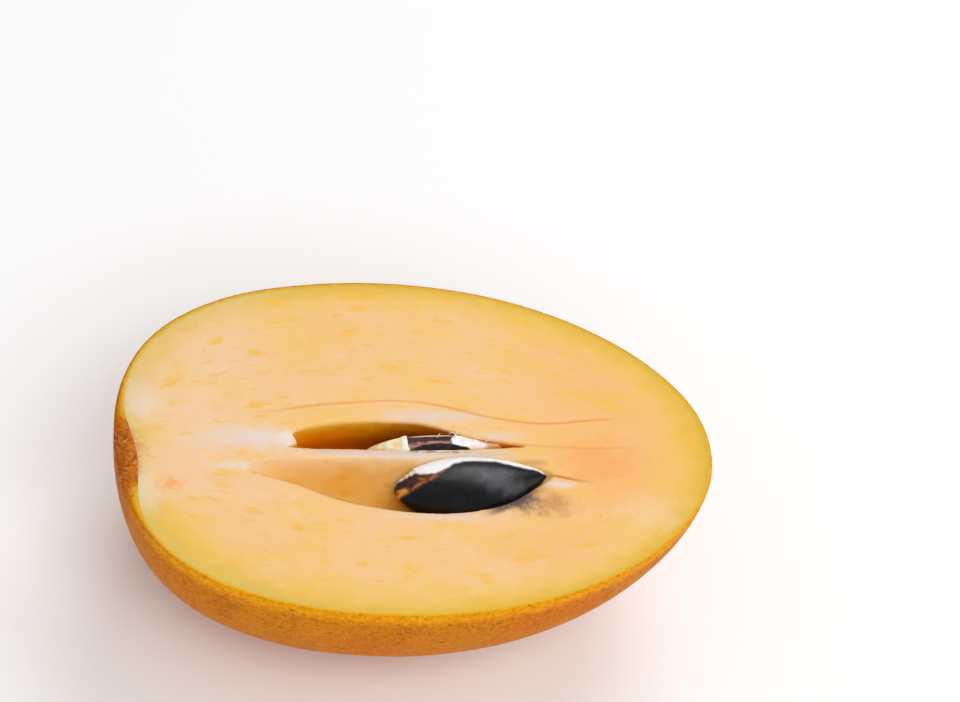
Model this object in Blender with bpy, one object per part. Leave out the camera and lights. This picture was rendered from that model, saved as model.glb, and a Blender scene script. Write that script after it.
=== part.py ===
"""Half of a sapodilla, cut lengthwise: its skin, its flesh with two open seed pockets, and its two seeds.

The fruit's long axis is X, with the stem end at -X. The cut face is level and faces +Z, and the lowest part
of the skin is a small flat spot at z = 0. Lengths are in millimetres until the meshes are made.
"""

import math

import bpy
import numpy as np

TO_METRES = 0.001

# The fruit: a body turned about the X axis
HALF_LENGTH = 40.0
HALF_WIDTH = 28.2
FULLNESS = 0.915
EGG_TERMS = (-0.077, 0.039, -0.117)
DIMPLE_RADIUS = 7.5
DIMPLE_Y = -3.3

# The cut and the flat spot, and the layers
FLAT_CUT = 0.5
LARGEST_RADIUS = 28.32
CUT_Z = LARGEST_RADIUS - FLAT_CUT
SKIN_THICKNESS = 0.8
GAP = 0.3

# Each layer's depth under the skin's outside, and how deep the stem end dips there: the cork of the stem
# scar fills the dip
OUTSIDE = (0.0, 0.0)
UNDER_SKIN = (SKIN_THICKNESS, 2.4)
FLESH_SURFACE = (SKIN_THICKNESS + GAP, 2.4)

# Facets
ALONG = 56
AROUND = 30
POCKET_RINGS = 7
POINTS_A_SPAN = 4
SEED_ALONG = 26
SEED_AROUND = 24

# The upper pocket is a narrow slot, seen from above: x, y. Its floor lies a little behind its mouth.
SLOT_OUTLINE = (
    (-16.6, -1.1), (-16.0, -0.2), (-16.2, 1.6), (-11.0, 3.1), (-5.0, 3.6), (0.5, 3.4),
    (4.6, 2.2), (8.9, 1.0), (14.4, -0.1), (10.5, -0.6), (3.0, -1.1), (-6.0, -1.2),
)
SLOT_DEPTH = 8.0
SLOT_STEEPNESS = 2.2
SLOT_CENTRE = (1.0, 0.8)
SLOT_SHIFT = 1.6

# The lower pocket is wide and holds the whole seed
POCKET_OUTLINE = (
    (-22.6, -5.1), (-21.4, -3.9), (-17.0, -3.3), (-9.0, -3.0), (0.0, -2.7), (8.0, -2.3), (13.2, -3.1),
    (17.6, -4.9), (14.6, -7.6), (10.5, -10.1), (4.5, -11.5), (-3.0, -11.4), (-10.9, -9.7), (-16.5, -7.3),
)
POCKET_DEPTH = 5.0
POCKET_STEEPNESS = 1.25
POCKET_CENTRE = (2.5, -9.2)

# The seeds: length, width and thickness. Each is flat, round at one end and pointed at the other. The rise is
# how much higher the tip lies than the middle.
FRONT_SEED = (20.9, 8.8, 5.0)
FRONT_CENTRE = (6.9, -6.5, CUT_Z - 1.5)
FRONT_TURN = math.radians(7.3)
FRONT_TILT = math.radians(12)
FRONT_RISE = 0.36
BACK_SEED = (21.0, 9.0, 3.8)
BACK_CENTRE = (3.0, 0.55, CUT_Z - 3.3)
BACK_TURN = math.radians(4)
BACK_TILT = math.radians(100)
BACK_RISE = 0.4
SHAVED_BY = 0.1
SEED_BOW = 0.75
TIP_POWER = 0.9
ROUND_POWER = 0.66
WIDEST_AT = (ROUND_POWER - TIP_POWER) / (ROUND_POWER + TIP_POWER)


def clear_scene():
    for obj in list(bpy.data.objects):
        bpy.data.objects.remove(obj, do_unlink=True)


def fruit_point(t, phi, layer):
    """A point of a layer, at t from the tip to the stem and phi from the far rim down."""
    inset, dip = layer
    c = math.cos(t)
    first, second, third = EGG_TERMS
    shape = 1 + first * c + second * c * c + third * c**3
    radius = (HALF_WIDTH - inset) * max(math.sin(t), 0.0) ** FULLNESS * shape
    y = radius * math.cos(phi)
    z = -radius * math.sin(phi)
    x = (HALF_LENGTH - inset) * c
    if c < 0:
        x += dip * math.exp(-((y - DIMPLE_Y) ** 2 + z**2) / DIMPLE_RADIUS**2)
    return x, y, max(CUT_Z + z, inset)


def dome_points(layer):
    """The tip, the rows between, and the stem's middle."""
    points = [fruit_point(0.0, math.pi / 2, layer)]
    for i in range(1, ALONG):
        for j in range(AROUND + 1):
            points.append(fruit_point(math.pi * i / ALONG, math.pi * j / AROUND, layer))
    tail = fruit_point(math.pi, math.pi / 2, layer)
    points.append((tail[0], tail[1], CUT_Z))
    return points


def row_start(i):
    return 1 + (i - 1) * (AROUND + 1)


def dome_faces(first, outward):
    """The faces of one dome whose points start at index first."""
    faces = []
    last = (ALONG - 1) * (AROUND + 1) + 1
    for j in range(AROUND):
        faces.append((0, row_start(1) + j + 1, row_start(1) + j))
        faces.append((row_start(ALONG - 1) + j, row_start(ALONG - 1) + j + 1, last))
    for i in range(1, ALONG - 1):
        for j in range(AROUND):
            a = row_start(i) + j
            b = row_start(i + 1) + j
            faces.append((a, a + 1, b + 1, b))
    if not outward:
        faces = [face[::-1] for face in faces]
    return [tuple(first + k for k in face) for face in faces]


def rim_loop():
    """Indices of a dome's points on the cut, from the tip along the far side to the stem and back."""
    far = [row_start(i) for i in range(1, ALONG)]
    near = [row_start(i) + AROUND for i in range(ALONG - 1, 0, -1)]
    stem = (ALONG - 1) * (AROUND + 1) + 1
    return [0, *far, stem, *near]


def make_material(name, colour, roughness):
    material = bpy.data.materials.new(name)
    material.use_nodes = True
    shader = material.node_tree.nodes["Principled BSDF"]
    shader.inputs["Base Color"].default_value = (*colour, 1.0)
    shader.inputs["Roughness"].default_value = roughness
    material.diffuse_color = (*colour, 1.0)
    return material


def make_object(name, points, faces, material=None):
    mesh = bpy.data.meshes.new(name)
    scaled = [(TO_METRES * x, TO_METRES * y, TO_METRES * z) for x, y, z in points]
    mesh.from_pydata(scaled, [], faces)
    mesh.update()
    obj = bpy.data.objects.new(name, mesh)
    bpy.context.scene.collection.objects.link(obj)
    if material:
        mesh.materials.append(material)
    return obj


def shade_round(obj, flat_z=CUT_Z):
    """Smooth, except for the level faces of the cut."""
    for face in obj.data.polygons:
        level = abs(face.normal.z) > 0.999 and abs(face.center.z / TO_METRES - flat_z) < 0.01
        face.use_smooth = not level


def make_cutter(name, points, faces):
    cutter = make_object(name, points, faces)
    cutter.hide_render = True
    cutter.display_type = "WIRE"
    return cutter


def cut(obj, cutter):
    modifier = obj.modifiers.new(cutter.name, "BOOLEAN")
    modifier.operation = "DIFFERENCE"
    modifier.solver = "EXACT"
    modifier.object = cutter


def smooth_loop(corners):
    """A closed curve through the corners."""
    count = len(corners)
    corner = [np.array(point, float) for point in corners]
    loop = []
    for i in range(count):
        before, here, after, beyond = (corner[(i + k) % count] for k in (-1, 0, 1, 2))
        for step in range(POINTS_A_SPAN):
            u = step / POINTS_A_SPAN
            bend = (after - before) * u
            bend = bend + (2 * before - 5 * here + 4 * after - beyond) * u**2
            bend = bend + (3 * here - before - 3 * after + beyond) * u**3
            loop.append(here + bend / 2)
    return loop


def pocket_cutter(name, outline, depth, centre, shift, steepness):
    """A pocket that narrows to its floor under the centre, with a straight part above the cut."""
    loop = smooth_loop(outline)
    if sum(a[0] * b[1] - a[1] * b[0] for a, b in zip(loop, loop[1:] + loop[:1])) < 0:
        loop.reverse()
    count = len(loop)
    middle = np.array(centre)
    points = [(p[0], p[1], CUT_Z + 1.0) for p in loop]
    for ring in range(POCKET_RINGS):
        angle = math.pi / 2 * ring / POCKET_RINGS
        down = depth * math.sin(angle)
        scale = (1 - math.sin(angle) ** steepness) ** (1 / steepness)
        for p in loop:
            x, y = middle + (p - middle) * scale
            points.append((x, y + shift * (down / depth) ** 2, CUT_Z - down))
    points.append((middle[0], middle[1] + shift, CUT_Z - depth))
    bottom = len(points) - 1
    faces = [tuple(range(count))]
    for ring in range(POCKET_RINGS):
        for k in range(count):
            a = ring * count + k
            b = ring * count + (k + 1) % count
            faces.append((a, a + count, b + count, b))
    for k in range(count):
        faces.append((POCKET_RINGS * count + k, bottom, POCKET_RINGS * count + (k + 1) % count))
    return make_cutter(name, points, faces)


def seed_half_width(s):
    """Share of the seed's full half width at s, from -1 at the round end to 1 at the tip."""
    widest = (1 - WIDEST_AT) ** TIP_POWER * (1 + WIDEST_AT) ** ROUND_POWER
    return (1 - s) ** TIP_POWER * (1 + s) ** ROUND_POWER / widest


def seed_mesh(sizes, centre, turn, tilt, rise, grow=0.0):
    """A seed that lies flat, then tilts about its own length and turns about Z.

    Its ends bow towards the side that bears its scar, and grow makes it larger all round.
    """
    length, width, thickness = sizes
    along = np.array((math.cos(turn), math.sin(turn), 0.0))
    across = np.array((-math.sin(turn) * math.cos(tilt), math.cos(turn) * math.cos(tilt), math.sin(tilt)))
    through = np.cross(along, across)
    middle = np.array(centre)
    lift = np.array((0.0, 0.0, rise))
    reach = length / 2 + grow
    points = [middle - along * reach + across * SEED_BOW - lift]
    for i in range(1, SEED_ALONG):
        s = -math.cos(math.pi * i / SEED_ALONG)
        share = seed_half_width(s)
        for j in range(SEED_AROUND):
            angle = math.tau * j / SEED_AROUND
            wide = (width / 2 * share + grow) * math.cos(angle) + SEED_BOW * s * s
            thick = (thickness / 2 * share + grow) * math.sin(angle)
            points.append(middle + along * s * reach + across * wide + through * thick + lift * s)
    points.append(middle + along * reach + across * SEED_BOW + lift)
    tip = len(points) - 1
    last_ring = tip - SEED_AROUND
    faces = []
    for j in range(SEED_AROUND):
        k = (j + 1) % SEED_AROUND
        faces.append((0, 1 + k, 1 + j))
        faces.append((last_ring + j, last_ring + k, tip))
        for i in range(SEED_ALONG - 2):
            a = 1 + i * SEED_AROUND
            b = a + SEED_AROUND
            faces.append((a + j, a + k, b + k, b + j))
    return points, faces


def block_above(name, z, side=60.0):
    square = ((-side, -side), (side, -side), (side, side), (-side, side))
    corners = [(x, y, level) for level in (z, z + side) for x, y in square]
    faces = [(3, 2, 1, 0), (4, 5, 6, 7), (0, 1, 5, 4), (1, 2, 6, 5), (2, 3, 7, 6), (3, 0, 4, 7)]
    return make_cutter(name, corners, faces)


def build_skin():
    outer = dome_points(OUTSIDE)
    inner = dome_points(UNDER_SKIN)
    faces = dome_faces(0, True) + dome_faces(len(outer), False)
    rim = rim_loop()
    for k in range(len(rim)):
        a = rim[k]
        b = rim[(k + 1) % len(rim)]
        faces.append((a, b, b + len(outer), a + len(outer)))
    skin = make_object("skin", outer + inner, faces, make_material("skin", (0.52, 0.25, 0.05), 0.55))
    shade_round(skin)


def build_flesh():
    points = dome_points(FLESH_SURFACE)
    faces = dome_faces(0, True)
    faces.append(tuple(rim_loop()))
    flesh = make_object("flesh", points, faces, make_material("flesh", (0.85, 0.56, 0.28), 0.45))
    shade_round(flesh)
    slot = pocket_cutter("slot_cutter", SLOT_OUTLINE, SLOT_DEPTH, SLOT_CENTRE, SLOT_SHIFT, SLOT_STEEPNESS)
    cut(flesh, slot)
    straight_down = 0.0
    pocket = pocket_cutter(
        "pocket_cutter", POCKET_OUTLINE, POCKET_DEPTH, POCKET_CENTRE, straight_down, POCKET_STEEPNESS,
    )
    cut(flesh, pocket)
    front = seed_mesh(FRONT_SEED, FRONT_CENTRE, FRONT_TURN, FRONT_TILT, FRONT_RISE, GAP)
    cut(flesh, make_cutter("front_seed_cutter", *front))
    back = seed_mesh(BACK_SEED, BACK_CENTRE, BACK_TURN, BACK_TILT, BACK_RISE, GAP)
    cut(flesh, make_cutter("back_seed_cutter", *back))


def build_seeds():
    points, faces = seed_mesh(FRONT_SEED, FRONT_CENTRE, FRONT_TURN, FRONT_TILT, FRONT_RISE)
    front = make_object("seed_front", points, faces, make_material("seed_front", (0.012, 0.008, 0.007), 0.2))
    shade_round(front)
    points, faces = seed_mesh(BACK_SEED, BACK_CENTRE, BACK_TURN, BACK_TILT, BACK_RISE)
    back = make_object("seed_back", points, faces, make_material("seed_back", (0.05, 0.02, 0.012), 0.25))
    shade_round(back)
    cut(back, block_above("knife_cutter", CUT_Z - SHAVED_BY))


def main():
    clear_scene()
    build_skin()
    build_flesh()
    build_seeds()


main()
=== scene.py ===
"""Half of a sapodilla, dressed for its portrait. Lengths are in millimetres until a mesh is made."""

import math

import bpy
import numpy as np
from mathutils import Matrix, Vector, noise
from mathutils.geometry import delaunay_2d_cdt


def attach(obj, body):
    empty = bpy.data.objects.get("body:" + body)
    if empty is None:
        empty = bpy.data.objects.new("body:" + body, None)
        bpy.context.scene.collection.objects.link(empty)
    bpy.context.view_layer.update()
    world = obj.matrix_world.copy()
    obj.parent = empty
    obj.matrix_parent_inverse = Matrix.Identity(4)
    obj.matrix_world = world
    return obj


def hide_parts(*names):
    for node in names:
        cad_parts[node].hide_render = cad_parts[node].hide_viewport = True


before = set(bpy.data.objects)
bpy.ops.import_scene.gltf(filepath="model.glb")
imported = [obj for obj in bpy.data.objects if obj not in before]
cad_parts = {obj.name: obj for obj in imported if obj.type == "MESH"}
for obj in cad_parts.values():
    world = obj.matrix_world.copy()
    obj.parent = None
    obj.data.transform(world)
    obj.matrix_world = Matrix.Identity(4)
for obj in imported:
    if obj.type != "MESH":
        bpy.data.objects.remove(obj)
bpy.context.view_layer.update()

TO_METRES = 0.001

# The fruit, with the outside of the CAD model and a thinner edge of skin
HALF_LENGTH = 40.0
HALF_WIDTH = 28.2
FULLNESS = 0.915
EGG_TERMS = (-0.077, 0.039, -0.117)
DIMPLE_RADIUS = 7.5
DIMPLE_Y = -3.3
FLESH_DIP = 2.4
CUT_Z = 27.82
SKIN_EDGE = 0.45
HIDDEN_EDGE = 1.2
SWELL = 0.13
SCURF = 0.018

# The size on which the patterns of the skin and the flesh are laid out
PATTERN_LENGTH = 40.0
PATTERN_WIDTH = 28.0

# The pockets, seen from above
SLOT_OUTLINE = (
    (-16.6, -1.1), (-16.0, -0.2), (-16.2, 1.6), (-11.0, 3.1), (-5.0, 3.6), (0.5, 3.4),
    (4.6, 2.2), (8.9, 1.0), (14.4, -0.1), (10.5, -0.6), (3.0, -1.1), (-6.0, -1.2),
)
SLOT_DEPTH = 8.0
SLOT_STEEPNESS = 2.2
SLOT_CENTRE = (1.0, 0.8)
SLOT_SHIFT = 1.6
POCKET_OUTLINE = (
    (-22.6, -5.1), (-21.4, -3.9), (-17.0, -3.3), (-9.0, -3.0), (0.0, -2.7), (8.0, -2.3), (13.2, -3.1),
    (17.6, -4.9), (14.6, -7.6), (10.5, -10.1), (4.5, -11.5), (-3.0, -11.4), (-10.9, -9.7), (-16.5, -7.3),
)
POCKET_DEPTH = 5.0
POCKET_STEEPNESS = 1.25
POCKET_CENTRE = (2.5, -9.2)

# The rounded lip of both: how far outside the edge each step of it lies, and how far below the cut
LIP = ((0.0, 0.2), (0.12, 0.07), (0.32, 0.02))
LIP_DROP = LIP[0][1]

# The seeds
FRONT_SEED = (20.9, 8.8, 5.0)
FRONT_CENTRE = (6.9, -6.5, CUT_Z - 1.5)
FRONT_TURN = math.radians(7.3)
FRONT_TILT = math.radians(12)
FRONT_RISE = 0.36
BACK_SEED = (21.0, 9.0, 3.8)
BACK_CENTRE = (3.0, 0.55, CUT_Z - 3.3)
BACK_TURN = math.radians(4)
BACK_TILT = math.radians(100)
BACK_RISE = 0.4
SEED_ROOM = 0.15
KNIFE_Z = CUT_Z - 0.1
SHELL_SLOPE = 0.5
SEED_BOW = 0.75
TIP_POWER = 0.9
ROUND_POWER = 0.66
WIDEST_AT = (ROUND_POWER - TIP_POWER) / (ROUND_POWER + TIP_POWER)

# Borders of the seeds' zones, seen from above
WHITE_EDGE = (
    (-0.9, -5.2), (-0.3, -5.7), (1.7, -5.8), (3.5, -4.9), (4.2, -4.2), (6.3, -3.7), (10.2, -3.6),
    (13.0, -4.1), (15.7, -4.2), (17.0, -4.6),
)
BLACK_EDGE = ((-3.5, -8.4), (-1.1, -7.8), (0.7, -7.1), (3.0, -5.6), (4.1, -4.3), (5.0, -3.4))
FRINGE_EDGE = ((-2.7, -6.0), (-0.7, -5.25))
CRESCENT = ((-1.6, -1.45), (0.6, -0.35), (3.0, 0.1), (4.6, -0.1), (6.0, -0.45), (7.9, -0.8), (9.0, -1.6))
TROUGH_TOP = ((-1.4, 1.0), (1.5, 1.1), (4.5, 1.3))

# Loose threads of the seeds' skin: heights are above the cut
FRONT_THREADS = (
    ((6.3, -3.1, 0.1), (6.5, -2.9, 0.5), (6.4, -2.7, 0.85)),
    ((5.7, -3.1, 0.1), (5.4, -3.0, 0.5), (4.9, -2.9, 0.6)),
)
BACK_THREADS = (
    ((4.9, 0.9, 0.0), (5.1, 1.1, 0.45), (4.7, 1.3, 0.7), (4.3, 1.2, 0.55), (4.2, 1.1, 0.35)),
    ((5.0, 0.9, 0.0), (5.3, 1.1, 0.5), (5.3, 1.3, 0.95)),
    ((2.7, 1.0, -0.1), (2.9, 1.2, 0.15), (3.1, 1.3, 0.4)),
    ((9.3, 0.6, -0.3), (9.5, 0.7, 0.1), (9.45, 0.8, 0.5)),
)
THREAD_WIDTH = 0.16
THREAD_SIDES = 6

# Facets
ALONG = 240
AROUND = 110
LOOP_STEP = 0.22
TOP_STEP = 0.75
WALL_RINGS = 26
SEED_ALONG = 220
SEED_AROUND = 150

# The camera, fitted to the photograph's picture of 960 by 702
PICTURE = (960, 702)
CUT_CENTRE_IN_PICTURE = (417.7, 442.3)
LENS = 100.0
SENSOR = 36.0
CAMERA_DISTANCE = 352.2
CAMERA_HEIGHT_ANGLE = math.radians(49.9)
CAMERA_SIDE_ANGLE = math.radians(-15.0)
CAMERA_ROLL = math.radians(12.7)


def smooth_step(low, high, value):
    u = min(max((value - low) / (high - low), 0.0), 1.0)
    return u * u * (3 - 2 * u)


def rough(x, y, z, size):
    """Noise from -1 to 1 whose lumps are about size across."""
    return noise.noise(Vector((x / size, y / size, z / size)))


def place(x, y, z):
    return (TO_METRES * x, TO_METRES * y, TO_METRES * z)


def linear(channel):
    share = channel / 255
    return share / 12.92 if share <= 0.04045 else ((share + 0.055) / 1.055) ** 2.4


def rgb(red, green, blue):
    return (linear(red), linear(green), linear(blue), 1.0)


# Meshes
def make_piece(name, points, faces, material, node, attributes=None, sharp_over=180.0):
    """One piece of the node, smooth except where two faces meet at more than sharp_over degrees."""
    mesh = bpy.data.meshes.new(name)
    mesh.from_pydata([place(*point) for point in points], [], faces)
    mesh.update()
    mesh.polygons.foreach_set("use_smooth", [True] * len(mesh.polygons))
    mesh.set_sharp_from_angle(angle=math.radians(sharp_over))
    for key, values in (attributes or {}).items():
        layer = mesh.attributes.new(key, "FLOAT", "POINT")
        layer.data.foreach_set("value", np.array(values, np.float32))
    mesh.materials.append(material)
    piece = bpy.data.objects.new(name, mesh)
    bpy.context.scene.collection.objects.link(piece)
    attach(piece, "root")
    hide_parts(node)
    return piece


def egg_radius(t):
    c = math.cos(t)
    first, second, third = EGG_TERMS
    return max(math.sin(t), 0.0) ** FULLNESS * (1 + first * c + second * c * c + third * c**3)


def fruit_point(t, phi, inset, dip):
    """The point at t from tip to stem and phi from the far rim down, inset under the smooth skin."""
    share = egg_radius(t)
    y = share * math.cos(phi)
    z = -share * math.sin(phi)
    swell = SWELL * (1 + rough(PATTERN_LENGTH * math.cos(t), PATTERN_WIDTH * y, PATTERN_WIDTH * z, 9.0)) / 2
    depth = inset + swell
    x = (HALF_LENGTH - depth) * math.cos(t)
    y *= HALF_WIDTH - depth
    z *= HALF_WIDTH - depth
    if math.cos(t) < 0:
        x += dip * math.exp(-((y - DIMPLE_Y) ** 2 + z**2) / DIMPLE_RADIUS**2)
    return x, y, max(CUT_Z + z, inset)


def fruit_rows(inset, dip, extra=None):
    rows = []
    for i in range(ALONG + 1):
        t = math.pi * i / ALONG
        count = 1 if i in (0, ALONG) else AROUND + 1
        row = []
        for j in range(count):
            phi = math.pi / 2 if count == 1 else math.pi * j / AROUND
            more = extra(t, phi) if extra else 0.0
            point = fruit_point(t, phi, inset + more, dip)
            if count == 1:
                point = (point[0], point[1], CUT_Z)
            row.append(point)
        rows.append(row)
    return rows


def dome(rows, first=0):
    """Points and faces of a dome that faces outwards, and its rim from the tip along the far side."""
    points = [point for row in rows for point in row]
    start = [first]
    for row in rows:
        start.append(start[-1] + len(row))
    faces = []
    tip, stem = start[0], start[ALONG]
    for j in range(AROUND):
        faces.append((tip, start[1] + j + 1, start[1] + j))
        faces.append((start[ALONG - 1] + j, start[ALONG - 1] + j + 1, stem))
    for i in range(1, ALONG - 1):
        for j in range(AROUND):
            a = start[i] + j
            b = start[i + 1] + j
            faces.append((a, a + 1, b + 1, b))
    far = [start[i] for i in range(1, ALONG)]
    near = [start[i] + AROUND for i in range(ALONG - 1, 0, -1)]
    return points, faces, [tip, *far, stem, *near]


def smooth_loop(corners):
    """A closed curve through the corners, with a point about every LOOP_STEP."""
    count = len(corners)
    corner = [np.array(point, float) for point in corners]
    loop = []
    for i in range(count):
        before, here, after, later = (corner[(i + k) % count] for k in (-1, 0, 1, 2))
        steps = max(2, round(float(np.linalg.norm(after - here)) / LOOP_STEP))
        for step in range(steps):
            u = step / steps
            bend = (after - before) * u
            bend = bend + (2 * before - 5 * here + 4 * after - later) * u**2
            bend = bend + (3 * here - before - 3 * after + later) * u**3
            loop.append(here + bend / 2)
    area = sum(a[0] * b[1] - a[1] * b[0] for a, b in zip(loop, loop[1:] + loop[:1]))
    if area < 0:
        loop.reverse()
    return np.array(loop)


def outward_normals(loop):
    along = np.roll(loop, -1, axis=0) - np.roll(loop, 1, axis=0)
    along /= np.linalg.norm(along, axis=1)[:, None]
    return np.column_stack([along[:, 1], -along[:, 0]])


def torn_edge(loop):
    """The loop with the small raggedness of a knife's cut, larger at its left end."""
    ragged = []
    for (x, y), normal in zip(loop, outward_normals(loop)):
        slot_end = smooth_step(-13.5, -16.5, x) * (y > -2)
        pocket_end = smooth_step(-19.0, -22.0, x)
        amount = 0.05 + 0.16 * slot_end + 0.2 * pocket_end
        ragged.append(np.array((x, y)) + normal * amount * rough(x, y, 3.0, 0.55))
    return np.array(ragged)


def inside(loop, x, y):
    x1, y1 = loop[:, 0], loop[:, 1]
    x2, y2 = np.roll(x1, -1), np.roll(y1, -1)
    crosses = (y1 > y) != (y2 > y)
    with np.errstate(divide="ignore", invalid="ignore"):
        at = x1 + (y - y1) * (x2 - x1) / (y2 - y1)
    return bool(np.count_nonzero(crosses & (x < at)) % 2)


def build_skin(material):
    def scurf(t, phi):
        x = PATTERN_LENGTH * math.cos(t)
        y = PATTERN_WIDTH * math.cos(phi) * math.sin(t)
        z = PATTERN_WIDTH * math.sin(phi) * math.sin(t)
        return SCURF * (1 + rough(x, y, z, 0.9))

    outer, faces, rim = dome(fruit_rows(0.0, 0.0, scurf))
    inner, _, inner_rim = dome(fruit_rows(SKIN_EDGE, FLESH_DIP))
    edge = [inner[k] for k in inner_rim]
    # The edge's ring comes twice, so that the cut edge is shaded flat where the inner wall begins
    points = outer + edge + edge + [(0.999 * x, 0.999 * y, z - HIDDEN_EDGE) for x, y, z in edge]
    ring = len(rim)
    first = len(outer)
    wall = first + ring
    for k in range(ring):
        n = (k + 1) % ring
        faces.append((rim[k], rim[n], first + n, first + k))
        faces.append((wall + k, wall + n, wall + ring + n, wall + ring + k))
    attributes = {"section": [0.0] * first + [1.0] * (3 * ring)}
    return make_piece("skin_peel", points, faces, material, "skin", attributes)


def top_height(x, y):
    """How far the cut flesh lies above or below the knife's plane."""
    return 0.05 * rough(x, y, 0.0, 6.0) + 0.03 * rough(x, y, 5.0, 1.6) - 0.06


def build_flesh(material):
    points, faces, rim = dome(fruit_rows(SKIN_EDGE, FLESH_DIP))
    slot_depth = [0.0] * len(points)
    pocket_depth = [0.0] * len(points)
    rim_line = np.array([points[k][:2] for k in rim])
    plain_loops = [smooth_loop(SLOT_OUTLINE), smooth_loop(POCKET_OUTLINE)]
    loops = [torn_edge(loop) for loop in plain_loops]
    flat = [tuple(p) for p in rim_line]
    heights = [CUT_Z] * len(flat)
    edges = [(k, (k + 1) % len(flat)) for k in range(len(flat))]
    starts = []
    for loop in loops:
        normals = outward_normals(loop)
        starts.append(len(flat))
        edges += [(len(flat) + k, len(flat) + (k + 1) % len(loop)) for k in range(len(loop))]
        for away, drop in LIP:
            for p, normal in zip(loop, normals):
                x, y = p + normal * away
                if away and any(inside(other, x, y) for other in loops):
                    continue
                flat.append((x, y))
                heights.append(CUT_Z + min(top_height(x, y), 0.0) - drop)
    fixed = np.array(flat)
    rng = np.random.default_rng(7)
    rows = int(2 * HALF_WIDTH / TOP_STEP)
    columns = int(2 * HALF_LENGTH / TOP_STEP)
    for r in range(rows):
        for c in range(columns):
            x = -HALF_LENGTH + (c + 0.5 * (r % 2) + 0.2 * rng.random()) * TOP_STEP
            y = -HALF_WIDTH + (r + 0.2 * rng.random()) * TOP_STEP
            if not inside(rim_line, x, y) or any(inside(loop, x, y) for loop in loops):
                continue
            if np.min(np.hypot(fixed[:, 0] - x, fixed[:, 1] - y)) < 0.45 * TOP_STEP:
                continue
            flat.append((x, y))
            heights.append(CUT_Z + min(top_height(x, y), 0.0))
    net, _, net_faces, came_from, _, _ = delaunay_2d_cdt([Vector(p) for p in flat], edges, [], 0, 1e-6)
    index = []
    for k, p in enumerate(net):
        source = came_from[k][0] if came_from[k] else None
        if source is not None and source < len(rim):
            index.append(rim[source])
            continue
        index.append(len(points))
        points.append((p[0], p[1], heights[source] if source is not None else CUT_Z - 0.1))
        slot_depth.append(0.0)
        pocket_depth.append(0.0)
    back_to = {sources[0]: k for k, sources in enumerate(came_from) if sources}
    for face in net_faces:
        middle = sum((net[k] for k in face), Vector((0.0, 0.0))) / len(face)
        if not inside(rim_line, *middle) or any(inside(loop, *middle) for loop in loops):
            continue
        a, b, c = (net[k] for k in face[:3])
        turn = (b - a).cross(c - a)
        faces.append(tuple(index[k] for k in (face if turn > 0 else face[::-1])))
    shapes = (
        (SLOT_DEPTH, SLOT_CENTRE, SLOT_SHIFT, SLOT_STEEPNESS),
        (POCKET_DEPTH, POCKET_CENTRE, 0.0, POCKET_STEEPNESS),
    )
    for kind, (loop, plain, start) in enumerate(zip(loops, plain_loops, starts)):
        depth, centre, shift, steepness = shapes[kind]
        count = len(loop)
        ring = [index[back_to[start + k]] for k in range(count)]
        middle = np.array(centre)
        for step in range(1, WALL_RINGS + 1):
            angle = math.pi / 2 * (step / WALL_RINGS) ** 0.9
            down = LIP_DROP + (depth - LIP_DROP) * math.sin(angle)
            scale = max(1 - math.sin(angle) ** steepness, 0.0) ** (1 / steepness)
            torn = smooth_step(1.2, 0.1, down)
            lower = []
            for p in plain + (loop - plain) * torn:
                x, y = middle + (p - middle) * scale
                ripple = 0.16 * rough(x, y, down, 1.8) * smooth_step(0.0, 1.0, down)
                spot = np.array((x, y + ripple + shift * (down / depth) ** 2, CUT_Z - down + 0.5 * ripple))
                lower.append(len(points))
                points.append(below_front_seed(spot) if kind == 1 else spot)
                slot_depth.append(down if kind == 0 else 0.0)
                pocket_depth.append(down if kind == 1 else 0.0)
            for k in range(count):
                n = (k + 1) % count
                faces.append((ring[k], ring[n], lower[n], lower[k]))
            ring = lower
        faces.append(tuple(ring))
    across = []
    for p in points:
        t = math.acos(max(-1.0, min(1.0, p[0] / HALF_LENGTH)))
        across.append(p[1] / max(HALF_WIDTH * egg_radius(t), 1.0))
    attributes = {"slot": slot_depth, "pocket": pocket_depth, "across": across}
    return make_piece("flesh_cut", points, faces, material, "flesh", attributes, 75.0)


def seed_half_width(s):
    widest = (1 - WIDEST_AT) ** TIP_POWER * (1 + WIDEST_AT) ** ROUND_POWER
    return (1 - s) ** TIP_POWER * (1 + s) ** ROUND_POWER / widest


def seed_axes(turn, tilt):
    along = np.array((math.cos(turn), math.sin(turn), 0.0))
    across = np.array((-math.sin(turn) * math.cos(tilt), math.cos(turn) * math.cos(tilt), math.sin(tilt)))
    return along, across, np.cross(along, across)


def below_front_seed(p):
    """The point, moved under the front seed where it lies in it or over it."""
    along, across, through = seed_axes(FRONT_TURN, FRONT_TILT)
    length, width, thickness = FRONT_SEED
    away = p - np.array(FRONT_CENTRE)
    s = away @ along / (length / 2)
    if abs(s) >= 1:
        return p
    away = away - np.array((0.0, 0.0, FRONT_RISE)) * s - across * SEED_BOW * s * s
    share = seed_half_width(s)
    side = away @ across / (width / 2 * share + SEED_ROOM)
    if abs(side) >= 1:
        return p
    floor = -(thickness / 2 * share + SEED_ROOM) * math.sqrt(1 - side * side)
    return p - through * max(away @ through - floor, 0.0)


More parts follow.
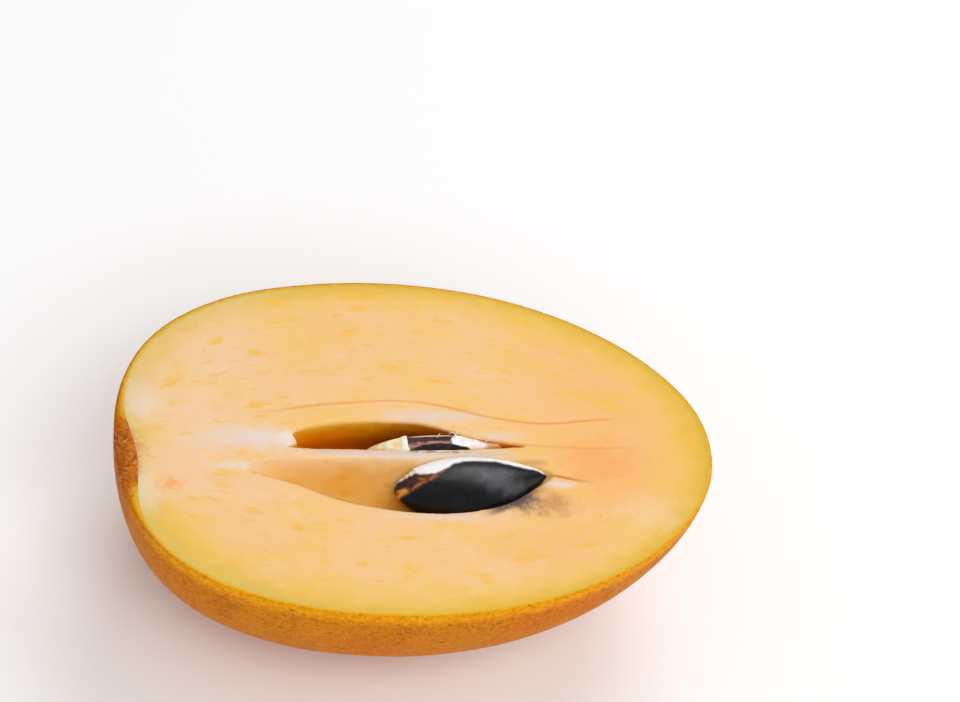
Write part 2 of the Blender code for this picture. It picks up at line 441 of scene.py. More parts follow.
def seed_surface(sizes, centre, turn, tilt, rise, finish_point):
    """Points, faces and the zone values that finish_point gives with each point."""
    length, width, thickness = sizes
    along, across, through = seed_axes(turn, tilt)
    middle = np.array(centre)
    lift = np.array((0.0, 0.0, rise))
    points = []
    zones = []

    def add(s, angle):
        share = seed_half_width(s)
        p = middle + along * s * length / 2 + across * SEED_BOW * s * s + lift * s
        sideways = across * width / 2 * share * math.cos(angle)
        p = p + sideways + through * thickness / 2 * share * math.sin(angle)
        normal = across * math.cos(angle) / width + through * math.sin(angle) / thickness
        size = np.linalg.norm(normal)
        normal = normal / size if size else along
        p, zone = finish_point(p, normal, angle)
        points.append(p)
        zones.append(zone)

    add(-1.0, 0.0)
    for i in range(1, SEED_ALONG):
        for j in range(SEED_AROUND):
            add(-math.cos(math.pi * i / SEED_ALONG), math.tau * j / SEED_AROUND)
    add(1.0, 0.0)
    tip = len(points) - 1
    last_ring = tip - SEED_AROUND
    faces = []
    for j in range(SEED_AROUND):
        k = (j + 1) % SEED_AROUND
        faces.append((0, 1 + k, 1 + j))
        faces.append((last_ring + j, last_ring + k, tip))
        for i in range(SEED_ALONG - 2):
            a = 1 + i * SEED_AROUND
            b = a + SEED_AROUND
            faces.append((a + j, a + k, b + k, b + j))
    return points, faces, zones


def beyond(border, p):
    """How far p, seen from above, lies behind a border given by its corners from left to right."""
    return p[1] - float(np.interp(p[0], *zip(*border)))


def add_threads(points, faces, zones, routes, zone):
    """Thin tapered threads along the routes, rooted in the seed."""
    for route in routes:
        spots = [np.array((x, y, CUT_Z + above)) for x, y, above in route]
        last = len(spots) - 1
        first = len(points)
        for k, spot in enumerate(spots):
            ahead = spots[min(k + 1, last)] - spots[max(k - 1, 0)]
            side = np.cross(ahead, (0.3, 0.8, -0.2))
            side /= np.linalg.norm(side)
            other = np.cross(ahead, side)
            other /= np.linalg.norm(other)
            radius = THREAD_WIDTH / 2 * (1 - 0.8 * k / last)
            for j in range(THREAD_SIDES):
                angle = math.tau * j / THREAD_SIDES
                points.append(spot + radius * (side * math.cos(angle) + other * math.sin(angle)))
                zones.append(zone)
        for k in range(last):
            for j in range(THREAD_SIDES):
                a = first + k * THREAD_SIDES + j
                b = first + k * THREAD_SIDES + (j + 1) % THREAD_SIDES
                faces.append((a, b, b + THREAD_SIDES, a + THREAD_SIDES))
        faces.append(tuple(range(first + THREAD_SIDES - 1, first - 1, -1)))
        faces.append(tuple(range(first + last * THREAD_SIDES, first + (last + 1) * THREAD_SIDES)))


def build_front_seed(material):
    keys = ("scar", "brown", "amber", "film", "fringe")

    def finish_point(p, normal, angle):
        degrees = (math.degrees(angle) + 180) % 360 - 180
        wobble = rough(*p, 0.7)
        on_top = smooth_step(-20, 0, degrees) * smooth_step(150, 120, degrees)
        past_white = beyond(WHITE_EDGE, p) + 0.1 * wobble
        scar = smooth_step(-0.06, 0.06, past_white) * on_top
        scar *= smooth_step(-0.95, -0.75, p[0] + 0.2 * wobble) * smooth_step(17.0, 16.4, p[0])
        past_black = beyond(BLACK_EDGE, p) + 0.15 * rough(*p, 1.3)
        brown = smooth_step(-0.35, 0.4, past_black + 0.15 * wobble)
        under_white = smooth_step(-1.1, -0.6, past_white) * smooth_step(-1.0, -0.3, p[0])
        amber = max(under_white, smooth_step(0.8, 0.35, past_black + 0.15 * wobble)) * brown
        film = smooth_step(-1.5, -2.4, p[0] + 0.4 * wobble) * smooth_step(-7.0, -7.6, p[1])
        fringe = smooth_step(-0.1, 0.1, beyond(FRINGE_EDGE, p) + 0.3 * rough(*p, 0.45))
        fringe *= smooth_step(-0.7, -0.9, p[0]) * on_top
        height = 0.2 * scar * (1 + 0.25 * rough(*p, 0.9)) + 0.12 * fringe + 0.02 * rough(*p, 2.5)
        return p + normal * height, (scar, brown, amber, film, fringe)

    points, faces, zones = seed_surface(
        FRONT_SEED, FRONT_CENTRE, FRONT_TURN, FRONT_TILT, FRONT_RISE, finish_point,
    )
    add_threads(points, faces, zones, FRONT_THREADS, (1.0, 0.0, 0.0, 0.0, 0.0))
    attributes = {key: [zone[k] for zone in zones] for k, key in enumerate(keys)}
    return make_piece("seed_front_whole", points, faces, material, "seed_front", attributes)


def build_back_seed(material):
    keys = ("cream", "white", "inner", "lip", "rise", "tail")

    def finish_point(p, normal, angle):
        x, y, z = p
        wobble = rough(x, y, z, 0.6)
        high = smooth_step(KNIFE_Z - 2.6, KNIFE_Z - 1.2, z)
        past = beyond(CRESCENT, p)
        cream = smooth_step(-1.2, -1.45, x + 0.15 * wobble + 0.1 * y) * high
        lip = smooth_step(-2.5, -1.9, x + 0.15 * wobble) * cream
        white = smooth_step(4.45, 4.65, x + 0.15 * wobble - 0.5 * (past - 0.5) ** 2)
        white *= smooth_step(-0.06, 0.06, past + 0.08 * wobble) * smooth_step(KNIFE_Z - 1.7, KNIFE_Z - 1.4, z)
        rise = past / max(past - beyond(TROUGH_TOP, p), 0.2)
        inner = (1 - cream) * (1 - white) * smooth_step(-0.08, 0.08, past) if z > KNIFE_Z else 0.0
        height = 0.12 * cream + 0.25 * lip + 0.12 * white * (1 + 0.5 * wobble)
        height -= 0.5 * inner * max(0.0, 1 - (2.2 * (rise - 0.45)) ** 2)
        tail = smooth_step(8.9, 9.8, x + 0.3 * wobble)
        far = max(past - 0.8, 0.0) * smooth_step(4.0, 7.0, x)
        knife = KNIFE_Z - SHELL_SLOPE * (max(-past, 0.0) + far)
        return np.array((x, y, min(z, knife) + height)), (cream, white, inner, lip, rise, tail)

    points, faces, zones = seed_surface(BACK_SEED, BACK_CENTRE, BACK_TURN, BACK_TILT, BACK_RISE, finish_point)
    add_threads(points, faces, zones, BACK_THREADS, (0.0, 1.0, 0.0, 0.0, 0.0, 0.0))
    attributes = {key: [zone[k] for zone in zones] for k, key in enumerate(keys)}
    return make_piece("seed_back_shaved", points, faces, material, "seed_back", attributes)


# Materials
class Shader:
    """A material's nodes, added one call at a time."""

    def __init__(self, name):
        self.material = bpy.data.materials.new(name)
        self.material.use_nodes = True
        self.tree = self.material.node_tree
        self.bsdf = self.tree.nodes["Principled BSDF"]
        coordinates = self.tree.nodes.new("ShaderNodeTexCoord")
        self.where = self.vector("SCALE", coordinates.outputs["Object"], scale=1 / TO_METRES)
        self.unevenness = self.math("MULTIPLY_ADD", self.noise(1.7, 4, 0.65), 1.2, -0.6)

    def put(self, socket, value):
        if isinstance(value, bpy.types.NodeSocket):
            self.tree.links.new(value, socket)
        else:
            socket.default_value = value

    def math(self, operation, a, b=0.0, c=0.0, clamp=False):
        node = self.tree.nodes.new("ShaderNodeMath")
        node.operation = operation
        node.use_clamp = clamp
        for socket, value in zip(node.inputs, (a, b, c)):
            self.put(socket, value)
        return node.outputs[0]

    def vector(self, operation, a, b=(0, 0, 0), scale=1.0):
        node = self.tree.nodes.new("ShaderNodeVectorMath")
        node.operation = operation
        self.put(node.inputs[0], a)
        if operation == "SCALE":
            node.inputs["Scale"].default_value = scale
        else:
            self.put(node.inputs[1], b)
        return node.outputs[0]

    def axes(self, vector):
        node = self.tree.nodes.new("ShaderNodeSeparateXYZ")
        self.put(node.inputs[0], vector)
        return node.outputs[0], node.outputs[1], node.outputs[2]

    def combine(self, x, y, z):
        node = self.tree.nodes.new("ShaderNodeCombineXYZ")
        for socket, value in zip(node.inputs, (x, y, z)):
            self.put(socket, value)
        return node.outputs[0]

    def attribute(self, name):
        node = self.tree.nodes.new("ShaderNodeAttribute")
        node.attribute_name = name
        return node.outputs["Fac"]

    def noise(self, size, detail=2.0, roughness=0.5, at=None, stretch=(1, 1, 1)):
        """Noise from 0 to 1 whose lumps are about size across, longer along an axis by its stretch."""
        node = self.tree.nodes.new("ShaderNodeTexNoise")
        spot = self.where if at is None else at
        self.put(node.inputs["Vector"], self.vector("MULTIPLY", spot, tuple(1 / (size * s) for s in stretch)))
        node.inputs["Scale"].default_value = 1.0
        node.inputs["Detail"].default_value = detail
        node.inputs["Roughness"].default_value = roughness
        return node.outputs[0]

    def cells(self, size, at=None, stretch=(1, 1, 1), jitter=1.0):
        """Distance from each cell's spot, in cell sizes, and a random value for each cell."""
        node = self.tree.nodes.new("ShaderNodeTexVoronoi")
        spot = self.where if at is None else at
        self.put(node.inputs["Vector"], self.vector("MULTIPLY", spot, tuple(1 / (size * s) for s in stretch)))
        node.inputs["Scale"].default_value = 1.0
        node.inputs["Randomness"].default_value = jitter
        return node.outputs["Distance"], self.axes(node.outputs["Color"])[0]

    def ramp(self, value, low, high):
        """0 below low and 1 above high, or the other way round where low is the larger."""
        node = self.tree.nodes.new("ShaderNodeMapRange")
        node.interpolation_type = "SMOOTHSTEP"
        self.put(node.inputs["Value"], value)
        flip = low > high
        node.inputs["From Min"].default_value = min(low, high)
        node.inputs["From Max"].default_value = max(low, high)
        node.inputs["To Min"].default_value = 1.0 if flip else 0.0
        node.inputs["To Max"].default_value = 0.0 if flip else 1.0
        return node.outputs["Result"]

    def times(self, *values):
        result = values[0]
        for value in values[1:]:
            result = self.math("MULTIPLY", result, value)
        return result

    def mix(self, share, a, b):
        node = self.tree.nodes.new("ShaderNodeMix")
        node.data_type = "RGBA"
        self.put(node.inputs["Factor"], share)
        self.put(node.inputs[6], a)
        self.put(node.inputs[7], b)
        return node.outputs[2]

    def blob(self, x, y, across, deep, soft=0.45):
        """1 in an uneven ellipse on the cut, 0 outside it."""
        px, py, _ = self.axes(self.where)
        dx = self.math("DIVIDE", self.math("SUBTRACT", px, x), across)
        dy = self.math("DIVIDE", self.math("SUBTRACT", py, y), deep)
        away = self.math("SQRT", self.math("ADD", self.times(dx, dx), self.times(dy, dy)))
        return self.ramp(self.math("ADD", away, self.unevenness), 1.0, 1.0 - soft)

    def line(self, corners, width, soft):
        """1 along a line through the corners on the cut, which run from left to right, 0 away from it."""
        low, high = -HALF_LENGTH, HALF_LENGTH
        px, py, _ = self.axes(self.where)
        curve = self.tree.nodes.new("ShaderNodeFloatCurve")
        share = self.math("DIVIDE", self.math("SUBTRACT", px, low), high - low)
        self.put(curve.inputs["Value"], share)
        track = curve.mapping.curves[0]
        spots = [((x - low) / (high - low), (y - low) / (high - low)) for x, y in corners]
        track.points[0].location = (0.0, spots[0][1])
        track.points[1].location = (1.0, spots[-1][1])
        for spot in spots:
            track.points.new(*spot)
        curve.mapping.update()
        line_y = self.math("MULTIPLY_ADD", curve.outputs[0], high - low, low)
        away = self.math("ABSOLUTE", self.math("SUBTRACT", py, line_y))
        ends = self.times(
            self.ramp(px, corners[0][0] - 1.5, corners[0][0] + 1.5),
            self.ramp(px, corners[-1][0] + 2.5, corners[-1][0] - 2.5),
        )
        return self.times(self.ramp(away, width + soft, width), ends)

    def bump(self, height, depth):
        """Relief of that depth in millimetres for a height from 0 to 1."""
        node = self.tree.nodes.new("ShaderNodeBump")
        node.inputs["Distance"].default_value = depth * TO_METRES
        self.put(node.inputs["Height"], height)
        self.put(self.bsdf.inputs["Normal"], node.outputs[0])

    def set(self, **values):
        for key, value in values.items():
            self.put(self.bsdf.inputs[key.replace("_", " ").title().replace("Ior", "IOR")], value)


def skin_material():
    s = Shader("skin")
    x, y, z = s.axes(s.where)
    below_rim = s.math("SUBTRACT", CUT_Z, z)
    colour = s.mix(s.ramp(s.noise(16, 3), 0.42, 0.62), rgb(214, 116, 6), rgb(211, 126, 10))
    colour = s.mix(s.times(0.4, s.ramp(s.noise(6.5, 4, 0.6), 0.5, 0.68)), colour, rgb(190, 100, 14))
    grain = s.noise(0.5, 5, 0.8, None, (1.5, 1, 1))
    colour = s.mix(s.times(0.8, s.ramp(grain, 0.5, 0.66)), colour, rgb(164, 80, 8))
    colour = s.mix(s.times(0.6, s.ramp(grain, 0.49, 0.34)), colour, rgb(238, 152, 22))
    patch = s.times(s.ramp(s.noise(3.6, 5, 0.7), 0.58, 0.7), s.ramp(s.noise(19, 1), 0.42, 0.6))
    colour = s.mix(s.times(0.45, patch), colour, rgb(132, 64, 14))
    band = s.ramp(s.math("MULTIPLY_ADD", s.noise(1.0, 4, 0.7), -2.6, below_rim), 1.6, -0.8)
    gold = s.mix(s.ramp(grain, 0.42, 0.6), rgb(248, 176, 14), rgb(228, 142, 8))
    colour = s.mix(s.times(0.85, band, s.ramp(x, -40.0, -33.0)), colour, gold)
    pore, deep = s.cells(0.62, None, (1.4, 1, 1))
    pores = s.times(s.ramp(pore, 0.34, 0.16), s.ramp(deep, 0.6, 0.7), s.ramp(s.noise(2.2, 3), 0.4, 0.6))
    colour = s.mix(s.times(0.6, pores), colour, rgb(128, 60, 6))
    spot, pick = s.cells(1.5, None, (1.5, 1, 1))
    dots = s.times(s.ramp(spot, 0.19, 0.09), s.ramp(pick, 0.72, 0.76))
    colour = s.mix(s.times(0.65, dots), colour, rgb(110, 50, 10))
    fleck, choice = s.cells(0.5)
    flecks = s.times(s.ramp(fleck, 0.36, 0.2), s.ramp(choice, 0.78, 0.84), s.ramp(below_rim, 1.5, 0.5))
    colour = s.mix(s.times(0.7, flecks), colour, rgb(150, 70, 6))
    scar_x = s.math("DIVIDE", s.math("ADD", x, 38.8), 3.6)
    scar_y = s.math("DIVIDE", s.math("SUBTRACT", y, DIMPLE_Y), 6.8)
    scar_z = s.math("DIVIDE", s.math("SUBTRACT", z, CUT_Z), 7.0)
    flat_share = s.math("ADD", s.times(scar_y, scar_y), s.times(scar_z, scar_z))
    away = s.math("SQRT", s.math("ADD", s.times(scar_x, scar_x), flat_share))
    scar = s.ramp(s.math("MULTIPLY_ADD", s.noise(1.1, 4, 0.6), 0.9, away), 1.65, 0.85)
    grit = s.noise(0.5, 4, 0.75, None, (1, 1, 2))
    cork = s.mix(s.ramp(grit, 0.42, 0.6), rgb(208, 114, 36), rgb(150, 72, 18))
    cork = s.mix(s.times(0.6, s.ramp(s.noise(1.0, 4, 0.7), 0.52, 0.66)), cork, rgb(222, 166, 112))
    cork = s.mix(s.times(0.35, s.ramp(s.noise(1.6, 3, 0.6), 0.56, 0.66)), cork, rgb(120, 50, 14))
    pit_at, pit = s.cells(1.1)
    cork = s.mix(s.times(0.8, s.ramp(pit_at, 0.3, 0.14), s.ramp(pit, 0.84, 0.88)), cork, rgb(80, 38, 12))
    colour = s.mix(s.times(0.8, scar), colour, cork)
    section = s.times(s.ramp(s.attribute("section"), 0.1, 0.8), s.ramp(scar, 0.5, 0.1))
    cut_edge = s.mix(s.noise(0.6, 3), rgb(238, 196, 70), rgb(224, 168, 36))
    colour = s.mix(s.times(0.8, section), colour, cut_edge)
    lumps = s.math("MULTIPLY_ADD", s.noise(1.4, 3), 0.45, s.times(dots, 0.25))
    height = s.math("ADD", s.times(grain, 0.55), lumps)
    s.bump(s.math("ADD", height, s.times(scar, s.noise(0.7, 4), 1.4)), 0.11)
    s.set(base_color=colour, roughness=s.math("MULTIPLY_ADD", grain, 0.2, 0.45))
    s.set(specular_ior_level=0.05)
    return s.material


def flesh_material():
    s = Shader("flesh")
    x, y, _ = s.axes(s.where)
    across = s.attribute("across")
    fibre_at = s.combine(x, s.math("MULTIPLY", across, PATTERN_WIDTH), 0.0)
    cloud = s.noise(7, 4, 0.55, fibre_at, (1.8, 1, 1))
    colour = s.mix(s.ramp(cloud, 0.38, 0.64), rgb(242, 195, 138), rgb(241, 195, 112))
    haze = s.noise(4, 4, 0.6, fibre_at, (1.6, 1, 1))
    colour = s.mix(s.times(0.4, s.ramp(haze, 0.52, 0.74)), colour, rgb(241, 204, 172))
    right = s.times(s.ramp(x, 8.0, 28.0), s.ramp(y, -18.0, -8.0))
    colour = s.mix(s.times(0.5, right), colour, rgb(243, 176, 94))
    rim = share_of_rim(s, x, across)
    reach = s.math("ADD", rim, s.math("MULTIPLY_ADD", s.noise(3.5, 4, 0.65), 0.14, -0.07))
    colour = s.mix(s.times(0.6, s.ramp(reach, 0.76, 0.92)), colour, rgb(237, 195, 94))
    colour = s.mix(s.times(0.85, s.ramp(reach, 0.86, 0.98)), colour, rgb(231, 181, 44))
    green = s.times(s.ramp(reach, 0.9, 1.0), s.ramp(x, -4.0, -26.0))
    colour = s.mix(s.times(0.5, green), colour, rgb(210, 194, 110))
    pale = s.times(s.ramp(x, -12.0, -28.0), s.ramp(y, -15.0, -7.0), s.ramp(s.noise(5, 4, 0.6), 0.2, 0.55))
    colour = s.mix(s.times(0.45, pale, s.ramp(reach, 1.06, 0.88)), colour, rgb(240, 206, 180))
    streak = s.noise(1.9, 4, 0.55, fibre_at, (2.6, 1, 1))
    density = s.ramp(s.noise(6, 2), 0.36, 0.56)
    colour = s.mix(s.times(0.85, s.ramp(streak, 0.55, 0.66), density), colour, rgb(242, 189, 64))
    dash = s.noise(0.9, 2, 0.5, fibre_at, (4.5, 1, 1))
    colour = s.mix(s.times(0.5, s.ramp(dash, 0.61, 0.72)), colour, rgb(241, 184, 66))
    pick_at, pick = s.cells(2.6, fibre_at)
    specks = s.times(s.ramp(pick_at, 0.07, 0.03), s.ramp(pick, 0.78, 0.82))
    colour = s.mix(s.times(0.5, specks), colour, rgb(200, 130, 56))
    fine = s.noise(0.5, 4, 0.7, fibre_at, (5, 1, 1))
    colour = s.mix(s.times(0.2, s.ramp(fine, 0.5, 0.7)), colour, rgb(238, 176, 96))
    for px, py, wide, deep, strength, tint in HAZES:
        colour = s.mix(s.times(strength, s.blob(px, py, wide, deep, 0.95)), colour, rgb(*tint))
    for corners, width, soft, strength, tint in LINES:
        colour = s.mix(s.times(strength, s.line(corners, width, soft)), colour, rgb(*tint))
    orange = s.times(s.blob(-32.8, -7.5, 2.6, 1.8, 0.9), s.ramp(s.noise(0.9), 0.3, 0.5))
    colour = s.mix(s.times(0.7, orange), colour, rgb(246, 160, 70))
    ragged = s.math("MULTIPLY_ADD", s.noise(0.55, 4, 0.8), 0.06, rim)
    colour = s.mix(s.times(0.7, s.ramp(ragged, 1.005, 1.02)), colour, rgb(228, 180, 44))
    dust = s.noise(0.26, 5, 0.85)
    brown_dust = s.times(s.blob(17.2, -10.0, 4.6, 3.0, 0.95), s.ramp(dust, 0.3, 0.62))
    colour = s.mix(s.times(0.65, brown_dust), colour, rgb(176, 114, 62))
    grey_dust = s.times(s.blob(13.4, -9.5, 3.4, 3.0, 0.95), s.ramp(dust, 0.26, 0.56))
    colour = s.mix(s.times(0.85, grey_dust), colour, rgb(78, 62, 70))
    dark_rim = s.times(s.line(DUSTY_RIM, 0.3, 1.0), s.ramp(dust, 0.2, 0.5))
    colour = s.mix(s.times(0.9, dark_rim), colour, rgb(70, 52, 58))
    breaks = s.ramp(s.noise(0.5, 3, 0.6, None, (2, 1, 1)), 0.46, 0.56)
    marks = s.times(s.line(SEPTUM_MARKS, 0.05, 0.22), breaks)
    colour = s.mix(s.times(0.8, marks), colour, rgb(96, 76, 78))
    cork = s.times(s.blob(-38.2, -2.2, 3.2, 5.6, 0.9), s.ramp(s.noise(0.5, 4, 0.75), 0.3, 0.55))
    colour = s.mix(s.times(0.85, cork), colour, rgb(186, 112, 56))
    # The slot's wall turns darker and redder towards its bottom: partly the wall's own colour, partly painted
    # shade
    slot = s.attribute("slot")
    redder = s.ramp(x, -9.0, 2.0)
    lip = s.mix(redder, rgb(240, 184, 42), rgb(220, 126, 18))
    wall = s.mix(s.ramp(slot, 0.6, 2.6), lip, s.mix(redder, rgb(230, 144, 2), rgb(206, 100, 2)))
    depths = s.mix(s.ramp(x, -7.0, 2.0), rgb(202, 104, 0), rgb(198, 82, 0))
    wall = s.mix(s.ramp(slot, 2.2, 5.0), wall, depths)
    colour = s.mix(s.ramp(slot, 0.1, 0.6), colour, wall)
    pocket = s.attribute("pocket")
    floor = s.mix(s.ramp(pocket, 0.3, 2.6), rgb(238, 190, 120), rgb(224, 164, 74))
    golden = s.ramp(s.noise(3.0, 2, 0.5, None, (2, 1, 1)), 0.5, 0.62)
    floor = s.mix(s.times(0.4, golden), floor, rgb(222, 152, 44))
    floor = s.mix(s.times(0.6, s.blob(-1.0, -4.6, 5.5, 1.8, 0.9)), floor, rgb(226, 184, 138))
    floor = s.mix(s.times(0.7, s.blob(-3.2, -7.6, 3.8, 2.4, 0.9)), floor, rgb(208, 134, 26))
    for px, py, wide, deep, tint in BLOTCHES:
        floor = s.mix(s.times(0.8, s.blob(px, py, wide, deep, 0.95)), floor, rgb(*tint))
    near = s.ramp(s.math("MULTIPLY_ADD", x, 0.14, y), -7.4, -7.9)
    far_share = s.times(s.ramp(pocket, 0.1, 1.2), s.math("SUBTRACT", 1.0, near))
    near_share = s.times(s.ramp(pocket, 0.05, 0.35), near)
    colour = s.mix(s.math("ADD", far_share, near_share), colour, floor)
    grain = s.noise(0.4, 3, 0.6)
    waves = s.math("MULTIPLY_ADD", streak, 0.5, s.times(s.noise(2.4, 2), 0.6))
    height = s.math("ADD", s.times(grain, 0.5), waves)
    s.bump(height, 0.06)
    s.set(base_color=colour, roughness=s.math("MULTIPLY_ADD", s.noise(1.8, 3), 0.25, 0.32))
    s.set(specular_ior_level=0.25)
    s.set(subsurface_weight=0.3, subsurface_radius=(1.0, 0.5, 0.2), subsurface_scale=0.0025)
    return s.material


def share_of_rim(s, x, across):
    """How near a spot of the cut is to its rim, from 0 in the middle to 1 at the rim."""
    share = s.math("DIVIDE", x, HALF_LENGTH - SKIN_EDGE)
    along = s.times(share, share)
    beside = s.times(across, across, s.math("SUBTRACT", 1.0, along))
    return s.math("SQRT", s.math("ADD", along, beside))


WHITE_CORE = (230, 213, 201)
MOIST_RIM = (228, 206, 188)
VEIN = (232, 142, 66)

# Soft patches on the cut: middle x and y, reach in x and y, strength, colour. The patch at 14.8, -3.1 is a
# painted shadow beside the front seed's tip
HAZES = (
    (-21.0, 0.4, 8.5, 3.0, 0.95, WHITE_CORE), (-27.0, 0.2, 9.0, 5.0, 0.3, WHITE_CORE),
    (-36.0, 6.2, 4.5, 5.0, 0.65, (232, 214, 200)), (-36.4, -9.0, 3.0, 5.5, 0.55, (234, 214, 194)),
    (-24.5, -4.4, 5.0, 1.2, 0.7, WHITE_CORE), (-17.4, 0.5, 1.7, 1.5, 0.9, (236, 222, 216)),
    (-2.0, -2.0, 21.0, 1.7, 0.95, MOIST_RIM), (2.5, 4.6, 10.0, 1.7, 0.8, (226, 206, 196)),
    (11.0, 1.4, 5.0, 1.2, 0.6, MOIST_RIM), (2.0, -12.3, 11.0, 1.1, 0.8, MOIST_RIM),
    (18.4, -6.6, 3.6, 1.1, 0.9, (234, 214, 204)), (24.5, -3.0, 8.0, 6.0, 0.75, (243, 165, 88)),
    (15.5, -9.3, 5.0, 3.2, 0.55, (214, 152, 88)), (14.8, -3.1, 3.4, 0.9, 0.75, (206, 150, 90)),
    (8.0, -1.9, 6.0, 0.8, 0.6, (204, 186, 178)), (-6.1, -2.7, 1.4, 0.5, 0.7, (236, 190, 92)),
    (16.0, -17.0, 14.0, 6.0, 0.4, (240, 178, 118)), (30.0, -11.0, 7.0, 5.0, 0.5, (240, 204, 164)),
)

# Lines on the cut: corners from left to right, half width, softness, strength, colour
LINES = (
    (
        (
            (-17.0, 5.4), (-14.9, 5.8), (-8.7, 6.6), (-2.0, 7.1), (4.3, 6.3), (11.7, 4.3), (17.0, 3.7),
            (26.7, 4.7),
        ),
        0.04, 0.26, 0.45, VEIN,
    ),
    (((-21.0, 4.7), (-8.7, 6.6)), 0.04, 0.3, 0.25, VEIN),
    (((2.0, 6.7), (7.7, 5.2), (11.7, 4.3), (17.0, 3.7), (26.7, 4.7)), 0.04, 0.3, 0.45, VEIN),
    (((13.8, 0.0), (21.2, -0.4), (28.9, -0.2)), 0.04, 0.3, 0.4, VEIN),
    (((-14.5, -1.45), (-6.0, -1.5), (-4.0, -1.5)), 0.03, 0.14, 0.7, (240, 178, 104)),
    (((-14.0, -1.8), (-4.0, -1.9), (4.0, -1.8), (12.0, -1.6)), 0.1, 0.5, 0.5, (208, 192, 190)),
    (((17.2, -5.1), (18.8, -5.4), (21.5, -6.0)), 0.08, 0.25, 0.85, (196, 112, 44)),
)
DUSTY_RIM = ((8.6, -11.1), (9.9, -10.6), (11.6, -9.8), (12.9, -9.1), (15.2, -7.4))
SEPTUM_MARKS = ((-1.5, -1.5), (2.0, -1.55), (6.0, -1.5))

# Golden blotches in the pocket: middle x and y, reach in x and y, colour
BLOTCHES = (
    (-10.0, -4.6, 1.4, 0.6, (222, 158, 22)), (-9.8, -6.3, 1.4, 0.6, (216, 148, 18)),
    (-4.1, -5.2, 0.9, 0.5, (212, 154, 34)), (-16.4, -5.4, 1.6, 0.5, (230, 164, 52)),
)


def front_seed_material():
    s = Shader("seed_front")
    keys = ("scar", "brown", "amber", "film", "fringe")
    scar, brown, amber, film, fringe = (s.attribute(key) for key in keys)
    x, _, _ = s.axes(s.where)
    streak = s.noise(1.2, 4, 0.6, None, (2.5, 1, 1))
    colour = s.mix(s.ramp(streak, 0.45, 0.7), rgb(8, 7, 9), rgb(22, 20, 25))
    # Painted sheen: a grey highlight painted into the black seed's colour on its middle and right, ending
    # before the dark tip
    weak_sheen = s.times(0.35, s.blob(7.0, -5.2, 5.0, 1.8, 0.9))
    sheen_patch = s.math("ADD", s.blob(10.6, -6.6, 4.8, 2.6, 0.95), weak_sheen, clamp=True)
    sheen_noise = s.noise(2.6, 3, 0.45, None, (1.8, 1, 1))
    painted_sheen = s.times(sheen_patch, s.math("MULTIPLY_ADD", sheen_noise, 0.9, 0.35, clamp=True), s.ramp(x, 14.1, 13.5))
    colour = s.mix(s.times(0.8, painted_sheen), colour, rgb(96, 93, 100))
    glint, choice = s.cells(0.9, None, (2, 1, 1))
    glints = s.times(s.ramp(glint, 0.14, 0.06), s.ramp(choice, 0.86, 0.9), s.blob(7.0, -7.0, 8.0, 3.4, 0.5))
    colour = s.mix(s.times(0.7, glints), colour, rgb(160, 158, 164))
    flow = s.noise(0.8, 4, 0.6, None, (2.2, 1, 1))
    shell = s.mix(s.ramp(flow, 0.4, 0.62), rgb(34, 20, 30), rgb(66, 40, 48))
    shell = s.mix(amber, shell, s.mix(s.ramp(flow, 0.42, 0.58), rgb(92, 46, 22), rgb(172, 94, 36)))
    shell = s.mix(film, shell, s.mix(s.ramp(flow, 0.42, 0.62), rgb(222, 146, 62), rgb(150, 84, 30)))
    colour = s.mix(brown, colour, shell)
    gold = s.mix(s.ramp(s.noise(0.5, 3, 0.6), 0.42, 0.56), rgb(214, 138, 58), rgb(250, 226, 190))
    colour = s.mix(fringe, colour, gold)
    pith = s.mix(s.ramp(s.noise(0.9, 3, 0.6), 0.55, 0.75), rgb(253, 249, 247), rgb(244, 226, 208))
    colour = s.mix(scar, colour, pith)
    pale = s.math("MAXIMUM", scar, fringe)
    rough_scar = s.times(s.noise(0.35, 4, 0.7), s.math("MULTIPLY_ADD", pale, 0.5, 0.05))
    s.bump(s.math("MULTIPLY_ADD", s.noise(1.6, 3), 0.3, rough_scar), 0.1)
    gloss = s.math("MULTIPLY_ADD", s.noise(2.0, 4, 0.6), 0.16, 0.2)
    s.set(base_color=colour, roughness=s.math("MULTIPLY_ADD", pale, 0.45, gloss))
    s.set(specular_ior_level=0.3)
    return s.material


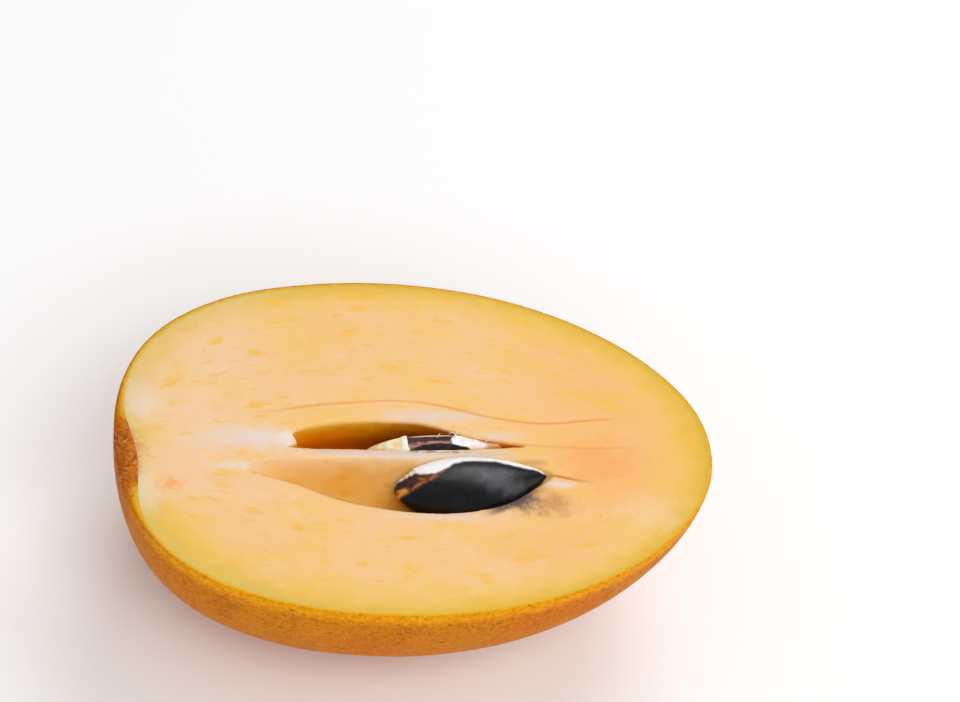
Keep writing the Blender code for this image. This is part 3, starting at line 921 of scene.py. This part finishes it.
def back_seed_material():
    s = Shader("seed_back")
    keys = ("cream", "white", "inner", "lip", "rise", "tail")
    cream, white, inner, lip, rise, tail = (s.attribute(key) for key in keys)
    x, _, _ = s.axes(s.where)
    colour = s.mix(s.ramp(s.noise(1.2, 4), 0.45, 0.65), rgb(24, 14, 16), rgb(50, 28, 30))
    fibre = s.noise(0.45, 4, 0.65, None, (2.2, 1, 1))
    trough = s.mix(s.ramp(fibre, 0.38, 0.62), rgb(112, 78, 72), rgb(186, 150, 140))
    dark = s.times(s.ramp(rise, 0.55, 0.7), s.ramp(rise, 0.98, 0.88))
    trough = s.mix(s.times(0.9, dark), trough, rgb(52, 28, 22))
    trough = s.mix(s.ramp(rise, 0.94, 1.02), trough, rgb(232, 180, 146))
    glow = s.times(s.ramp(rise, 0.34, 0.1), s.ramp(x, 3.6, 1.6))
    trough = s.mix(glow, trough, rgb(196, 92, 44))
    colour = s.mix(inner, colour, trough)
    kernel = s.mix(s.ramp(s.noise(1.4, 3), 0.4, 0.65), rgb(238, 206, 150), rgb(247, 230, 196))
    colour = s.mix(cream, colour, s.mix(lip, kernel, rgb(250, 240, 226)))
    pith = s.mix(s.ramp(s.noise(0.8, 3), 0.5, 0.7), rgb(252, 251, 251), rgb(238, 226, 220))
    colour = s.mix(white, colour, s.mix(tail, pith, rgb(226, 174, 118)))
    pale = s.math("MAXIMUM", cream, white)
    s.bump(s.times(s.noise(0.4, 4, 0.7), s.math("MULTIPLY_ADD", pale, 0.6, 0.15)), 0.1)
    s.set(base_color=colour, roughness=s.math("MULTIPLY_ADD", pale, 0.2, 0.45))
    s.set(specular_ior_level=0.3)
    return s.material


# Floor, lights and camera
def make_floor():
    mesh = bpy.data.meshes.new("floor")
    side = 3.0
    corners = [(-side, -side, 0), (side, -side, 0), (side, side, 0), (-side, side, 0)]
    mesh.from_pydata(corners, [], [(0, 1, 2, 3)])
    floor = bpy.data.objects.new("floor", mesh)
    bpy.context.scene.collection.objects.link(floor)
    s = Shader("floor")
    s.set(base_color=(0.97, 0.97, 0.97, 1.0), roughness=0.9, specular_ior_level=0.1)
    mesh.materials.append(s.material)


def make_light(name, spot, target, size, power, shines=True):
    """A square softbox. One that doesn't shine lights surfaces but leaves no gloss on them."""
    light = bpy.data.lights.new(name, "AREA")
    light.shape = "SQUARE"
    light.size = size
    light.energy = power
    obj = bpy.data.objects.new(name, light)
    obj.visible_glossy = shines
    obj.location = spot
    direction = Vector(target) - Vector(spot)
    obj.rotation_euler = direction.to_track_quat("-Z", "Y").to_euler()
    bpy.context.scene.collection.objects.link(obj)


def make_lights():
    centre = (0, 0, 0.02)
    make_light("softbox_behind", (0.22, 0.45, 0.72), centre, 0.5, 2.35)
    make_light("softbox_front", (0.1, -0.58, 0.74), centre, 0.6, 3.9, shines=False)
    make_light("softbox_right", (0.7, -0.1, 0.5), centre, 0.5, 0.9)
    world = bpy.data.worlds.new("studio")
    world.use_nodes = True
    world.node_tree.nodes["Background"].inputs[0].default_value = (1, 1, 1, 1)
    world.node_tree.nodes["Background"].inputs[1].default_value = 0.43
    bpy.context.scene.world = world


def make_camera():
    height, side, roll = CAMERA_HEIGHT_ANGLE, CAMERA_SIDE_ANGLE, CAMERA_ROLL
    back = Vector((math.sin(side) * math.cos(height), -math.cos(side) * math.cos(height), math.sin(height)))
    level = Vector((math.cos(side), math.sin(side), 0))
    up = back.cross(level)
    right = math.cos(roll) * level + math.sin(roll) * up
    top = -math.sin(roll) * level + math.cos(roll) * up
    camera = bpy.data.cameras.new("camera")
    camera.lens = LENS
    camera.sensor_width = SENSOR
    camera.clip_start = 0.01
    width, tall = PICTURE
    camera.shift_x = (width / 2 - CUT_CENTRE_IN_PICTURE[0]) / width
    camera.shift_y = (CUT_CENTRE_IN_PICTURE[1] - tall / 2) / width
    obj = bpy.data.objects.new("camera", camera)
    spot = Vector(place(0, 0, CUT_Z)) + back * CAMERA_DISTANCE * TO_METRES
    turn = Matrix((right, top, back)).transposed().to_4x4()
    obj.matrix_world = Matrix.Translation(spot) @ turn
    bpy.context.scene.collection.objects.link(obj)
    bpy.context.scene.camera = obj


def main():
    bpy.context.scene.view_settings.view_transform = "Standard"
    make_camera()
    make_lights()
    make_floor()
    build_skin(skin_material())
    build_flesh(flesh_material())
    build_front_seed(front_seed_material())
    build_back_seed(back_seed_material())


main()
